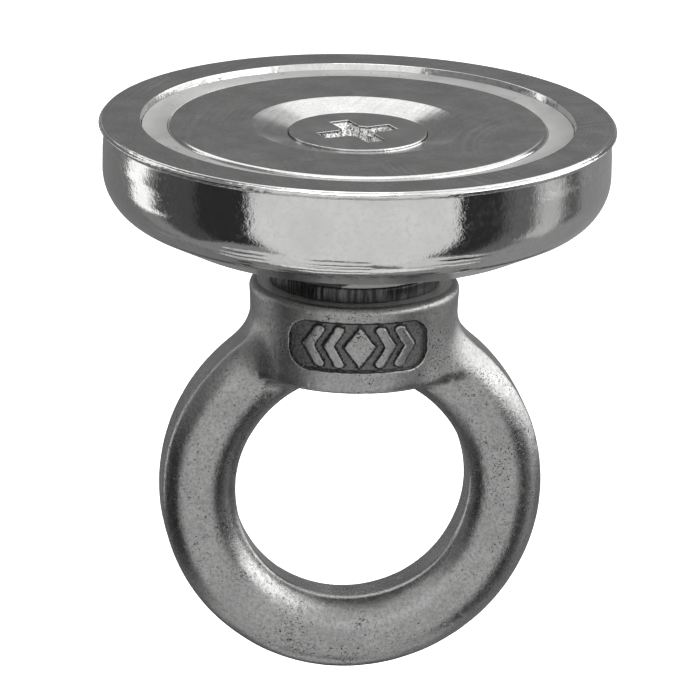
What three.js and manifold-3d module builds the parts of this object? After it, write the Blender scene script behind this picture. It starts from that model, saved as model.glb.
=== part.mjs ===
// A single-sided fishing magnet: a pot magnet with a countersunk screw, and an eye nut that hangs from it.
// Millimetres. +Z points out of the working face, and the origin is on the axis, level with the pot's rim.
import * as THREE from 'three';
import { mergeVertices } from 'three/addons/utils/BufferGeometryUtils.js';
import Module from 'manifold-3d';

// Round pieces share one step count, so that neighbouring walls keep the same facets.
const ROUND_STEPS = 64;
const EDGE_STEPS = 2;
const CORNER_STEPS = 5;
const FULL_TURN = 2 * Math.PI;
// How far a cutting body runs past the face it cuts.
const OVERRUN = 1;

// Pot: a drawn steel cup.
const RIM_RADIUS = 30;
const RIM_EDGE_ROUND = 0.5;
const LIP_HEIGHT = 0.85;
const LIP_STEP = 0.12;
const LIP_TAPER = 1.5;
const LIP_OVERHANG = 0.5;
const POT_CORNER_ROUND = 6;
const POT_CORNER_TOP = -5.67;
const POT_BACK_SLOPE = THREE.MathUtils.degToRad(25.64);
const POT_BACK = -13.3;
const POT_FLOOR = -8.8;
const POT_MOUTH_RADIUS = 25;
const POT_MOUTH_CHAMFER = 0.3;
const POT_MOUTH_CHAMFER_HEIGHT = 0.85;

// Magnet: a disc with a dished and countersunk hole.
const MAGNET_RADIUS = 22;
const MAGNET_FACE = -0.5;
const MAGNET_EDGE_ROUND = 0.55;
const BOND_THICKNESS = 0.3;
const DISH_RADIUS = 12.4;
const DISH_SHOULDER_ROUND = 2;
const DISH_SLOPE = THREE.MathUtils.degToRad(15);
const WALL_GAP = 0.05;

// Resin ring between the magnet and the pot.
const RESIN_TOP = -1.1;
const RESIN_CREEP = 0.15;

// M8 countersunk screw, 25 mm long over all.
const SCREW_HEAD_RADIUS = 8.03;
const SCREW_HEAD_FACE = -1.24;
const SCREW_HEAD_EDGE = 0.4;
const SCREW_LENGTH = 25;
const SCREW_RADIUS = 3.96;
const SCREW_TIP_CHAMFER = 1;
const CONE_GAP = 0.1;
const SHANK_HOLE_RADIUS = 4.5;
const RECESS_SPAN = 9.6;
const RECESS_BOTTOM_SPAN = 3.4;
const RECESS_DEPTH = 3.6;
const RECESS_WING = 1.7;
const RECESS_CORE_RADIUS = 2.1;
const RECESS_CORE_BOTTOM = 1.2;
const RECESS_TURN = THREE.MathUtils.degToRad(20.6);

// Thin hexagon nut behind the pot, and the washer on the eye nut.
const TAPPED_RADIUS = 4.04;
const NUT_FLATS = 13;
const NUT_HEIGHT = 4;
const NUT_FACE_INSET = 0.1;
const NUT_TURN = THREE.MathUtils.degToRad(12);
const CORNER_CHAMFER_SLOPE = Math.tan(Math.PI / 6);
const WASHER_RADIUS = 10;
const WASHER_HOLE_RADIUS = 4.2;
const WASHER_THICKNESS = 1.7;
const WASHER_EDGE_ROUND = 0.3;

// Eye nut: a forged collar and lifting ring.
const COLLAR_RADIUS = 12.3;
const COLLAR_WAIST = 0.2;
const COLLAR_HEIGHT = 10.3;
const COLLAR_TOP_ROUND = 0.6;
const COLLAR_BOTTOM_ROUND = 0.9;
const RING_BELOW_COLLAR_TOP = 24.75;
const RING_MEAN_RADIUS = 18.0;
const RING_HALF_WIDTH = 4.37;
const RING_HALF_DEPTH = 4.95;
const RING_SECTION_STEPS = 24;
const SHOULDER_ROUND = 3;
const SHOULDER_DEPTH = 4.4;
const SHOULDER_SEAT = 1.6;
const BADGE_WIDTH = 16.0;
const BADGE_HEIGHT = 5.9;
const BADGE_CORNER = 2.2;
const BADGE_DEPTH = 0.5;
const BADGE_DROP = 4.8;
const BADGE_TURN = THREE.MathUtils.degToRad(-3.5);
const MOTIF_STROKE = 1.1;
const MOTIF_HALF_HEIGHT = 2.5;
const MOTIF_LEAN = 1.5;
const MOTIF_SPACING = 2.25;
const MOTIF_FIRST_CHEVRON = 1.6;
const CHEVRONS_EACH_SIDE = 2;
const LOZENGE_HALF_WIDTH = 1.9;
const MOTIF_SINK = 0.05;

// Heights that follow from the driving sizes.
const MAGNET_BACK = POT_FLOOR + BOND_THICKNESS;
const NUT_SEAT = POT_BACK;
const WASHER_SEAT = NUT_SEAT - NUT_HEIGHT;
const EYE_SEAT = WASHER_SEAT - WASHER_THICKNESS;

const wasm = await Module();
wasm.setup();

// A closed three.js geometry as a solid that can be joined and cut.
function solid(geometry) {
  const bare = geometry.clone();
  bare.deleteAttribute('normal');
  bare.deleteAttribute('uv');
  const merged = mergeVertices(bare, 1e-4);
  const mesh = new wasm.Mesh({
    numProp: 3,
    vertProperties: merged.attributes.position.array,
    triVerts: Uint32Array.from(merged.index.array),
  });
  mesh.merge();
  return new wasm.Manifold(mesh);
}

// A solid as a flat-shaded three.js geometry.
function geometryOf(body) {
  const mesh = body.getMesh();
  const geometry = new THREE.BufferGeometry();
  geometry.setAttribute('position', new THREE.BufferAttribute(mesh.vertProperties, 3));
  geometry.setIndex(new THREE.BufferAttribute(mesh.triVerts, 1));
  return geometry;
}

// Revolves a profile of [radius, height] points about Z. It runs anticlockwise, with height up the page.
function revolve(profile, steps = ROUND_STEPS) {
  const points = profile.map(([radius, height]) => new THREE.Vector2(radius, height));
  const geometry = new THREE.LatheGeometry(points, steps);
  geometry.rotateX(Math.PI / 2);
  return geometry;
}

// Revolves a profile that bounds a hole, so its last point is joined to its first.
function revolveRing(profile, steps) {
  return revolve([...profile, profile[0]], steps);
}

// Points of an arc in a profile, from one angle to another in degrees, both ends included.
function arc(centreRadius, centreHeight, size, from, to, steps) {
  const points = [];
  for (let i = 0; i <= steps; i++) {
    const angle = THREE.MathUtils.degToRad(from + ((to - from) * i) / steps);
    points.push([centreRadius + size * Math.cos(angle), centreHeight + size * Math.sin(angle)]);
  }
  return points;
}

// Extrudes a flat outline of [x, y] points along Z from 0.
function extrude(outline, depth) {
  const shape = new THREE.Shape(outline.map(([x, y]) => new THREE.Vector2(x, y)));
  return new THREE.ExtrudeGeometry(shape, { depth, bevelEnabled: false });
}

function finish(colour, roughness, metalness) {
  return new THREE.MeshStandardMaterial({ color: colour, roughness, metalness });
}

const nickel = () => finish(0xa9a9a7, 0.22, 1);
const groundNickel = () => finish(0x8d8d8b, 0.38, 1);
const resin = () => finish(0xb4b4b0, 0.35, 0);
const zincSteel = () => finish(0x8f9090, 0.35, 1);
const stainless = () => finish(0x85858a, 0.42, 1);

function piece(name, geometry, material, height = 0, turn = 0) {
  const mesh = new THREE.Mesh(geometry, material);
  mesh.name = name;
  mesh.position.z = height;
  mesh.rotation.z = turn;
  return mesh;
}

// The pot is measured from its rim, at height 0.
function steelPot() {
  const wall = RIM_RADIUS - LIP_OVERHANG;
  const corner = arc(wall - POT_CORNER_ROUND, POT_CORNER_TOP, POT_CORNER_ROUND,
    THREE.MathUtils.radToDeg(POT_BACK_SLOPE) - 90, 0, CORNER_STEPS + 1);
  const [slopeRadius, slopeHeight] = corner[0];
  const backRadius = slopeRadius - (slopeHeight - POT_BACK) / Math.tan(POT_BACK_SLOPE);
  return revolveRing([
    [SHANK_HOLE_RADIUS, POT_BACK],
    [backRadius, POT_BACK],
    ...corner,
    [wall, -LIP_HEIGHT - LIP_TAPER],
    [RIM_RADIUS - LIP_STEP, -LIP_HEIGHT],
    [RIM_RADIUS, -LIP_HEIGHT + LIP_STEP],
    ...arc(RIM_RADIUS - RIM_EDGE_ROUND, -RIM_EDGE_ROUND, RIM_EDGE_ROUND, 0, 90, EDGE_STEPS),
    [POT_MOUTH_RADIUS + POT_MOUTH_CHAMFER, 0],
    [POT_MOUTH_RADIUS, -POT_MOUTH_CHAMFER_HEIGHT],
    [POT_MOUTH_RADIUS, POT_FLOOR],
    [SHANK_HOLE_RADIUS, POT_FLOOR],
  ]);
}

// The screw's cone is at 45 degrees. This is the radius of the magnet's matching countersink at a height.
function countersinkRadius(height) {
  return SCREW_HEAD_RADIUS + CONE_GAP - (SCREW_HEAD_FACE - SCREW_HEAD_EDGE - height);
}

function ringMagnet() {
  const shoulder = arc(DISH_RADIUS, MAGNET_FACE - DISH_SHOULDER_ROUND, DISH_SHOULDER_ROUND,
    90, 90 + THREE.MathUtils.radToDeg(DISH_SLOPE), EDGE_STEPS + 1);
  const [slopeRadius, slopeHeight] = shoulder.at(-1);
  const edgeRadius = SCREW_HEAD_RADIUS + CONE_GAP;
  const edgeHeight = slopeHeight - (slopeRadius - edgeRadius) * Math.tan(DISH_SLOPE);
  const coneTop = SCREW_HEAD_FACE - SCREW_HEAD_EDGE;
  const coneBottom = coneTop - (edgeRadius - SHANK_HOLE_RADIUS);
  return revolveRing([
    [SHANK_HOLE_RADIUS, MAGNET_BACK],
    [MAGNET_RADIUS, MAGNET_BACK],
    ...arc(MAGNET_RADIUS - MAGNET_EDGE_ROUND, MAGNET_FACE - MAGNET_EDGE_ROUND, MAGNET_EDGE_ROUND,
      0, 90, EDGE_STEPS),
    ...shoulder,
    [edgeRadius, edgeHeight],
    [countersinkRadius(coneTop), coneTop],
    [SHANK_HOLE_RADIUS, coneBottom],
  ]);
}

function magnetBond() {
  return revolveRing([
    [SHANK_HOLE_RADIUS, POT_FLOOR],
    [MAGNET_RADIUS, POT_FLOOR],
    [MAGNET_RADIUS, MAGNET_BACK],
    [SHANK_HOLE_RADIUS, MAGNET_BACK],
  ]);
}

// The resin creeps a little way up both walls.
function pottingRing() {
  const inner = MAGNET_RADIUS + WALL_GAP;
  const outer = POT_MOUTH_RADIUS - WALL_GAP;
  const middle = (inner + outer) / 2;
  return revolveRing([
    [inner, POT_FLOOR],
    [outer, POT_FLOOR],
    [outer, RESIN_TOP],
    [middle, RESIN_TOP - RESIN_CREEP],
    [inner, RESIN_TOP],
  ]);
}

// One wing of the cross recess: a trapezium that narrows with depth, as thick as the driver's blade.
function recessWing(turn) {
  const top = RECESS_SPAN / 2;
  const bottom = RECESS_BOTTOM_SPAN / 2;
  const geometry = extrude([[-bottom, -RECESS_DEPTH], [bottom, -RECESS_DEPTH], [top, 0], [top, OVERRUN],
    [-top, OVERRUN], [-top, 0]], RECESS_WING);
  geometry.translate(0, 0, -RECESS_WING / 2);
  geometry.rotateX(Math.PI / 2);
  geometry.rotateZ(turn);
  return solid(geometry);
}

// The screw is measured from its head's face, at height 0.
function countersunkScrew() {
  const coneBottom = -SCREW_HEAD_EDGE - (SCREW_HEAD_RADIUS - SCREW_RADIUS);
  const blank = solid(revolve([
    [0, -SCREW_LENGTH],
    [SCREW_RADIUS - SCREW_TIP_CHAMFER, -SCREW_LENGTH],
    [SCREW_RADIUS, -SCREW_LENGTH + SCREW_TIP_CHAMFER],
    [SCREW_RADIUS, coneBottom],
    [SCREW_HEAD_RADIUS, -SCREW_HEAD_EDGE],
    [SCREW_HEAD_RADIUS, 0],
    [0, 0],
  ]));
  const core = solid(revolve([
    [0, -RECESS_DEPTH],
    [RECESS_CORE_BOTTOM, -RECESS_DEPTH],
    [RECESS_CORE_RADIUS, OVERRUN],
    [0, OVERRUN],
  ], ROUND_STEPS / 4));
  const recess = core.add(recessWing(0)).add(recessWing(Math.PI / 2));
  return geometryOf(blank.subtract(recess));
}

// Hexagon with its corners chamfered at 30 degrees on both faces, from height -NUT_HEIGHT to 0.
function clampNut() {
  const cornerRadius = NUT_FLATS / Math.sqrt(3);
  const outline = [];
  for (let i = 0; i < 6; i++) {
    const angle = (FULL_TURN * i) / 6;
    outline.push([cornerRadius * Math.cos(angle), cornerRadius * Math.sin(angle)]);
  }
  const prism = extrude(outline, NUT_HEIGHT);
  prism.translate(0, 0, -NUT_HEIGHT);
  const faceRadius = NUT_FLATS / 2 - NUT_FACE_INSET;
  const spread = cornerRadius + OVERRUN;
  const fall = (spread - faceRadius) * CORNER_CHAMFER_SLOPE;
  const turned = revolveRing([
    [TAPPED_RADIUS, -NUT_HEIGHT],
    [faceRadius, -NUT_HEIGHT],
    [spread, -NUT_HEIGHT + fall],
    [spread, -fall],
    [faceRadius, 0],
    [TAPPED_RADIUS, 0],
  ]);
  return geometryOf(solid(prism).intersect(solid(turned)));
}

// Punched from sheet, so one edge is rounded. From height -WASHER_THICKNESS to 0.
function eyeWasher() {
  return revolveRing([
    [WASHER_HOLE_RADIUS, -WASHER_THICKNESS],
    [WASHER_RADIUS, -WASHER_THICKNESS],
    ...arc(WASHER_RADIUS - WASHER_EDGE_ROUND, -WASHER_EDGE_ROUND, WASHER_EDGE_ROUND, 0, 90, EDGE_STEPS),
    [WASHER_HOLE_RADIUS, 0],
  ]);
}

// The collar, with a slight waist at mid height.
function collar() {
  const top = COLLAR_RADIUS - COLLAR_TOP_ROUND;
  const bottom = COLLAR_RADIUS - COLLAR_BOTTOM_ROUND;
  return solid(revolve([
    [0, -COLLAR_HEIGHT],
    ...arc(bottom, -COLLAR_HEIGHT + COLLAR_BOTTOM_ROUND, COLLAR_BOTTOM_ROUND, -90, 0, EDGE_STEPS),
    [COLLAR_RADIUS - COLLAR_WAIST, -COLLAR_HEIGHT / 2],
    ...arc(top, -COLLAR_TOP_ROUND, COLLAR_TOP_ROUND, 0, 90, EDGE_STEPS),
    [0, 0],
  ]));
}

// An elliptical section turned about Y.
function liftingRing() {
  const section = [];
  for (let i = 0; i <= RING_SECTION_STEPS; i++) {
    const angle = (FULL_TURN * (i % RING_SECTION_STEPS)) / RING_SECTION_STEPS;
    const radius = RING_MEAN_RADIUS + RING_HALF_WIDTH * Math.cos(angle);
    section.push(new THREE.Vector2(radius, RING_HALF_DEPTH * Math.sin(angle)));
  }
  const geometry = new THREE.LatheGeometry(section, ROUND_STEPS);
  geometry.translate(0, 0, -RING_BELOW_COLLAR_TOP);
  return solid(geometry);
}

// The web that fills the notch between the collar's side and the ring, with a round that touches both.
function shoulder(side) {
  const outer = RING_MEAN_RADIUS + RING_HALF_WIDTH;
  const centreX = COLLAR_RADIUS + SHOULDER_ROUND;
  const centreAbove = Math.sqrt((outer + SHOULDER_ROUND) ** 2 - centreX ** 2);
  const centreZ = centreAbove - RING_BELOW_COLLAR_TOP;
  const toRing = Math.atan2(-centreAbove, -centreX) + FULL_TURN;
  const outline = arc(centreX, centreZ, SHOULDER_ROUND, 180, THREE.MathUtils.radToDeg(toRing), CORNER_STEPS);
  const [ringX, ringZ] = outline.at(-1);
  const inward = SHOULDER_SEAT / outer;
  outline.push([ringX * (1 - inward), ringZ - SHOULDER_SEAT]);
  outline.push([COLLAR_RADIUS - SHOULDER_SEAT, ringZ - SHOULDER_SEAT]);
  outline.push([COLLAR_RADIUS - SHOULDER_SEAT, centreZ]);
  const geometry = extrude(outline, SHOULDER_DEPTH);
  geometry.translate(0, 0, -SHOULDER_DEPTH / 2);
  geometry.rotateX(Math.PI / 2);
  if (side < 0) {
    geometry.rotateZ(Math.PI);
  }
  return solid(geometry);
}

// Turns an outline in the badge's own plane into a prism that stands out through the collar's front.
function badgePrism(outline) {
  const geometry = extrude(outline, COLLAR_RADIUS);
  geometry.rotateX(Math.PI / 2);
  geometry.translate(0, -COLLAR_RADIUS / 2, -BADGE_DROP);
  return solid(geometry);
}

function badgeOutline() {
  const right = BADGE_WIDTH / 2 - BADGE_CORNER;
  const top = BADGE_HEIGHT / 2 - BADGE_CORNER;
  return [
    ...arc(right, top, BADGE_CORNER, 0, 90, 4),
    ...arc(-right, top, BADGE_CORNER, 90, 180, 4),
    ...arc(-right, -top, BADGE_CORNER, 180, 270, 4),
    ...arc(right, -top, BADGE_CORNER, 270, 360, 4),
  ];
}

// A chevron whose point faces away from the badge's middle.
function chevron(inner, side) {
  const tip = inner + MOTIF_LEAN;
  const outline = [[inner, -MOTIF_HALF_HEIGHT], [inner + MOTIF_STROKE, -MOTIF_HALF_HEIGHT],
    [tip + MOTIF_STROKE, 0], [inner + MOTIF_STROKE, MOTIF_HALF_HEIGHT], [inner, MOTIF_HALF_HEIGHT], [tip, 0]];
  return outline.map(([x, y]) => [side * x, y]);
}

// Raised work inside the badge: a lozenge between pairs of chevrons.
function motif() {
  const lozenge = [[LOZENGE_HALF_WIDTH, 0], [0, MOTIF_HALF_HEIGHT],
    [-LOZENGE_HALF_WIDTH, 0], [0, -MOTIF_HALF_HEIGHT]];
  let prisms = badgePrism(lozenge);
  for (const side of [-1, 1]) {
    for (let i = 0; i < CHEVRONS_EACH_SIDE; i++) {
      prisms = prisms.add(badgePrism(chevron(MOTIF_FIRST_CHEVRON + i * MOTIF_SPACING, side)));
    }
  }
  return prisms;
}

// A plain drum of the badge's height range, used to bound how far its floor and its motif reach.
function drum(radius) {
  const reach = BADGE_HEIGHT;
  return solid(revolve([
    [0, -BADGE_DROP - reach],
    [radius, -BADGE_DROP - reach],
    [radius, -BADGE_DROP + reach],
    [0, -BADGE_DROP + reach],
  ]));
}

// The eye nut is measured from its collar's top, at height 0.
function eyeNut() {
  const skinRadius = COLLAR_RADIUS - COLLAR_WAIST;
  const floorRadius = skinRadius - BADGE_DEPTH;
  const pocket = badgePrism(badgeOutline()).subtract(drum(floorRadius));
  const raised = motif().intersect(drum(skinRadius - MOTIF_SINK)).subtract(drum(floorRadius - BADGE_DEPTH));
  const badged = collar().add(liftingRing()).add(shoulder(1)).add(shoulder(-1))
    .subtract(pocket.rotate([0, 0, THREE.MathUtils.radToDeg(BADGE_TURN)]))
    .add(raised.rotate([0, 0, THREE.MathUtils.radToDeg(BADGE_TURN)]));
  const hole = solid(revolve([
    [0, -COLLAR_HEIGHT - RING_HALF_WIDTH],
    [TAPPED_RADIUS, -COLLAR_HEIGHT - RING_HALF_WIDTH],
    [TAPPED_RADIUS, OVERRUN],
    [0, OVERRUN],
  ]));
  return geometryOf(badged.subtract(hole));
}

const magnetHead = new THREE.Group();
magnetHead.add(
  piece('steel_pot', steelPot(), nickel()),
  piece('magnet_bond', magnetBond(), resin()),
  piece('ring_magnet', ringMagnet(), groundNickel()),
  piece('potting_ring', pottingRing(), resin()),
  piece('countersunk_screw', countersunkScrew(), zincSteel(), SCREW_HEAD_FACE, RECESS_TURN),
  piece('clamp_nut', clampNut(), zincSteel(), NUT_SEAT, NUT_TURN),
);

const eye = new THREE.Group();
eye.add(
  piece('eye_washer', eyeWasher(), zincSteel(), WASHER_SEAT),
  piece('eye_nut', eyeNut(), stainless(), EYE_SEAT),
);

const fishingMagnet = new THREE.Group();
fishingMagnet.add(magnetHead, eye);

export default fishingMagnet;
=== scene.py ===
"""The looks of a fishing magnet: a nickel-plated pot magnet over a stainless eye nut, in a white light tent.

Objects are in metres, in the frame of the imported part. Profiles and fields are worked out in millimetres.
"""
import math

import bpy
import numpy as np
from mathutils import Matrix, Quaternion, Vector


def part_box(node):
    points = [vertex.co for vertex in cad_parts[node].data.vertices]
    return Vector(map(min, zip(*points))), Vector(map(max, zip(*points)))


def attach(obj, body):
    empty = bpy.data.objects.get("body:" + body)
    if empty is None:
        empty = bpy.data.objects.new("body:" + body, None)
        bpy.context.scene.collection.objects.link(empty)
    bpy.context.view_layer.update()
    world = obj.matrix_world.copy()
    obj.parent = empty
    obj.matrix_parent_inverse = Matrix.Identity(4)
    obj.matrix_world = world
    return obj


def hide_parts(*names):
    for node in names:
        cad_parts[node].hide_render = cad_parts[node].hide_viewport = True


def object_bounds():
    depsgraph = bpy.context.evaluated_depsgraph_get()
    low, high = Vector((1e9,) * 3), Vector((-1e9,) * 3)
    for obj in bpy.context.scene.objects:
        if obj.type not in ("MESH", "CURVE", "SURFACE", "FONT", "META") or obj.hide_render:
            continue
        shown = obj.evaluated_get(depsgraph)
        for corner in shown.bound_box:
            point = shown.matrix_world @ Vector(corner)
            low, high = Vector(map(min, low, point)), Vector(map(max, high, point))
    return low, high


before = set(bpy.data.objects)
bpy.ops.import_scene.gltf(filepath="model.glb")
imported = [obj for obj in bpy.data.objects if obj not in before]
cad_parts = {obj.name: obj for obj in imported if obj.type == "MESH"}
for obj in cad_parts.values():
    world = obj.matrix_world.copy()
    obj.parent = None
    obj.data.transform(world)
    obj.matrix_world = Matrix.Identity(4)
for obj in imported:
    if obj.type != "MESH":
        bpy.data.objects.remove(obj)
cad_low, cad_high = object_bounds()

MM = 0.001


def node_span(node):
    """(lowest, highest) corner of a CAD node in millimetres."""
    low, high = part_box(node)
    return low / MM, high / MM


POT_LOW, POT_HIGH = node_span("steel_pot")
MAGNET_LOW, MAGNET_HIGH = node_span("ring_magnet")
RESIN_LOW, RESIN_HIGH = node_span("potting_ring")
BOND_LOW, BOND_HIGH = node_span("magnet_bond")
SCREW_LOW, SCREW_HIGH = node_span("countersunk_screw")
NUT_LOW, NUT_HIGH = node_span("clamp_nut")
WASHER_LOW, WASHER_HIGH = node_span("eye_washer")
EYE_LOW, EYE_HIGH = node_span("eye_nut")

# Camera: where it stands, from the working face's centre, and where it aims.
VIEW_AZIMUTH = -7.4
VIEW_ELEVATION = 15.62
VIEW_DISTANCE = 0.883
VIEW_LENS = 393.0
VIEW_ROLL = 1.3
AIM_DROP = 27.75 * MM
AIM_LEFT = 0.33 * MM
CAMERA_NEAR = 0.01
CAMERA_FAR = 20

# Shared roundings, gap and divisions.
CRISP = 0.1
SOFT = 0.2
WORN = 0.3
RESIN_GAP = 0.03
ARC_STEPS = 10
PROFILE_STEP = 0.5
SHARP_ANGLE = math.radians(35)

# Unevenness is given as layers of (size of its features, seed, depth).

# Pot.
RIM_RADIUS = POT_HIGH.x
RIM_EDGE_WIDTH = 0.36
RIM_EDGE_DROP = 0.46
RIM_EDGE_ROUND = 0.22
RIM_EDGE_FOOT_ROUND = 0.15
RIM_EDGE_UNEVEN = ((0.7, 13, 0.015), (0.25, 15, 0.010))
RIM_EDGE_SINK = 0.02
RIM_EDGE_FADE = 0.2
RIM_GROOVE = 0.2
RIM_GROOVE_WIDTH = 0.045
RIM_GROOVE_DEPTH = 0.05
RIM_GROOVE_WAVER = ((2.5, 14, 0.05),)
RIM_FLATNESS = 0.02
RIM_GREY = 0.60
LIP_HEIGHT = 0.64
LIP_DRAFT = 0.04
LIP_FOOT = 1.04
LIP_OVERHANG = 0.5
LIP_UNDERCUT = 0.15
LIP_INSIDE = 0.9
LIP_FADE = 0.3
BURR_DROP = 0.15
BURR_WIDTH = 0.22
BURR_UNEVEN = ((0.9, 1, 0.07), (0.35, 2, 0.07))
BURR_BITES = ((0.5, 3, 0.08),)
UNDERCUT_END = 3.4
UNDERCUT_ROUND = 6.0
POT_CORNER_ROUND = 6.0
POT_CORNER_TOP = -5.67
POT_BACK_SLOPE = math.radians(25.64)
POT_BACK_ROUND = 0.8
WALL_UNEVEN = ((9, 4, 0.02), (2.2, 8, 0.006))
WALL_SINK = 0.03
WALL_INSIDE = 20
WALL_INSIDE_FADE = 5
WALL_TOP = 1
WALL_TOP_FADE = 1.5
DRAW_LINES = ((-8.5, 0.16), (-9.3, 0.14), (-10.1, 0.16))
DRAW_LINE_DEPTH = 0.06
DRAW_LINE_WAVER = ((7, 9, 0.35), (1.1, 18, 0.08))
DRAW_LINE_PATCHES = (4, 10)
PATCHY_START = 0.3
POT_FLOOR = BOND_LOW.z
POT_MOUTH_RADIUS = RESIN_HIGH.x + RESIN_GAP
POT_MOUTH_CHAMFER = 0.22
POT_MOUTH_CHAMFER_HEIGHT = 0.85
POT_MOUTH_FOOT_ROUND = 0.35
MOUTH_DEPTH = 1.6
MOUTH_FADE = 0.5
MOUTH_UNEVEN = ((0.9, 5, 0.016), (0.3, 6, 0.012))
MOUTH_GROOVE = 0.38
MOUTH_GROOVE_WIDTH = 0.06
MOUTH_GROOVE_DEPTH = 0.07
MOUTH_GROOVE_WAVER = ((3, 16, 0.08),)
MOUTH_GROOVE_PATCHES = (2, 17)
SHANK_HOLE_RADIUS = 4.5
POT_SIDES = 960
POT_ARC_LONGEST = 0.1
LIP_STEP = 0.05
LIP_ZONE = 1

# Magnet.
MAGNET_RADIUS = MAGNET_HIGH.x
MAGNET_FACE = MAGNET_HIGH.z
MAGNET_EDGE_ROUND = 0.55
MAGNET_FOOT_ROUND = 0.4
DISH_RADIUS = 12.4
DISH_FALL = 0.93
DISH_SHOULDER = 0.6
DISH_FOOT_ROUND = 0.03
SEAT_ROUND = 0.02
CONE_GAP = 0.1
MAGNET_GREY = 0.62
MAGNET_SIDES = 720

# Resin, which creeps up the magnet and the pot's wall.
RESIN_RISE = 0.12
RESIN_CLIMB_POT = 0.3
RESIN_CLIMB_MAGNET = 0.1
RESIN_CLIMB_POWER = 4
RESIN_TOP_STEPS = 15
RESIN_STEP = 0.6
RESIN_SIDES = 480
RESIN_SKIN = 0.5
RESIN_UNEVEN = ((4, 7, 0.03),)
RESIN_SINK = 0.03
BOND_INSET = 0.1
BOND_ARC_STEPS = 4
BOND_STEP = 1.0
BOND_SIDES = 240

# M8 thread, and the screw.
THREAD_PITCH = 1.25
PITCH_RADIUS = 3.594
SHARP_HEIGHT = THREAD_PITCH * math.sqrt(3) / 2
SCREW_ROOT = 3.2
SCREW_CREST = 3.95
TAPPED_CREST = 3.36
TAPPED_ROOT = 4.04
THREAD_PLAY = 0.06
MOUTH_COUNTERSINK = 0.35
MOUTH_OVERRUN = 0.3
# The distance to a cone of 45 degrees, for each millimetre of radius beside it.
CONE_DISTANCE = 0.7
SCREW_TIP_CHAMFER = 1.0
SCREW_CELL = 0.12
HEAD_RADIUS = SCREW_HIGH.x
HEAD_FACE = SCREW_HIGH.z
HEAD_EDGE = 0.4
HEAD_EDGE_BLEND = 0.15
HEAD_NECK_BLEND = 0.3
HEAD_FACE_BLEND = 0.12
RECESS_SPAN = 9.4
RECESS_BOTTOM_SPAN = 3.0
RECESS_DEPTH = 3.3
RECESS_WING = 2.3
RECESS_WING_DRAFT = 0.28
RECESS_WING_BLEND = 0.15
RECESS_CORE = 2.1
RECESS_CORE_TAPER = 0.4
RECESS_CORE_DISTANCE = 0.9
RECESS_CORE_BLEND = 0.2
RECESS_EDGE_BLEND = 0.12
RECESS_TURN = math.radians(20.6)
RECESS_WALL_MARGIN = 0.1
RECESS_WALL_TOP = 0.06
RECESS_BURRS = ((0.5, 31, 0.06), (0.25, 32, 0.03))
RECESS_BURR_REACH = 5.5
RECESS_BURR_POWER = 4
RECESS_BURR_BOTTOM = -6
RECESS_BURR_BOTTOM_FADE = 2
RECESS_BURR_TOP = 0.05
RECESS_BURR_TOP_FADE = 0.1
# Painted shade in the recess: full down to the first depth under the head's face, gone by the second.
RECESS_SHADE_TOP = 0.12
RECESS_SHADE_FOOT = 0.3

# Thin nut.
NUT_FLATS = 13.0
NUT_TURN = math.radians(12)
NUT_SIDES = 6
NUT_CHAMFER = math.radians(30)
NUT_CHAMFER_DISTANCE = 0.87
NUT_EDGE_BLEND = 0.12
NUT_CELL = 0.18
NET_MARGIN = 0.4
HOLE_EDGE_BLEND = 0.1

# Washer, whose punched edge has streaks of (number in a radian, number in a millimetre, seed, depth).
WASHER_HOLE_RADIUS = 4.2
WASHER_DRAFT = 0.06
WASHER_FOOT_ROUND = 0.08
WASHER_HOLE_ROUND = 0.15
WASHER_ARC_STEPS = 5
WASHER_STEP = 0.25
WASHER_SIDES = 900
SHEARED_REACH = 0.8
SHEARED_FACE = 0.3
SHEAR_SINK = 0.05
SHEAR_STREAKS = ((22, 0.25, 11, 0.045), (70, 0.5, 12, 0.02))

# Eye nut.
COLLAR_RADIUS = 12.36
COLLAR_WAIST = 0.24
COLLAR_HEIGHT = 10.45
COLLAR_TOP = EYE_HIGH.z
COLLAR_MIDDLE = COLLAR_TOP - COLLAR_HEIGHT / 2
COLLAR_BOTTOM = COLLAR_TOP - COLLAR_HEIGHT
COLLAR_TOP_ROUND = 1.0
COLLAR_BOTTOM_ROUND = 0.8
FACED_TOP_DEPTH = 0.12
RING_CENTRE = COLLAR_TOP - 24.75
RING_MEAN_RADIUS = 18.0
RING_SECTION_RADIUS = 4.93
RING_TRIM = 4.36
RING_CORNER = 0.25
NECK_BLEND = 2.2
HOLE_OVERRUN = 0.1
HOLE_BOTTOM = min(RING_CENTRE + RING_MEAN_RADIUS - RING_TRIM, COLLAR_BOTTOM) - HOLE_OVERRUN
HOLE_MARGIN = 0.4
HOLE_RELIEF_END = COLLAR_BOTTOM - 4
EYE_CELL = 0.2
EYE_MARGIN = 0.5
FORGING_WAVES = ((4.5, 21, 0.035), (1.3, 22, 0.010))
FORGING_SINK = 0.045
DENTS = (0.9, 23)
DENT_THRESHOLD = 0.55
DENT_DEPTH = 0.08

# The badge, struck into the collar, and its motif.
BADGE_WIDTH = 15.9
BADGE_HEIGHT = 5.9
BADGE_CORNER = 2.2
BADGE_DEPTH = 0.5
BADGE_HEIGHT_CENTRE = COLLAR_TOP - 4.8
BADGE_TURN = math.radians(-3.5)
BADGE_EDGE_BLEND = 0.12
BADGE_WOBBLE = 0.04
BADGE_WAVE_ACROSS = ((5.3, 1.0), (1.9, 0.0))
BADGE_WAVE_UP = ((4.1, 0.0), (1.3, 0.5))
BADGE_FLOOR_MARGIN = 0.05
BADGE_FLOOR_SHARE = 0.55
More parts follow.
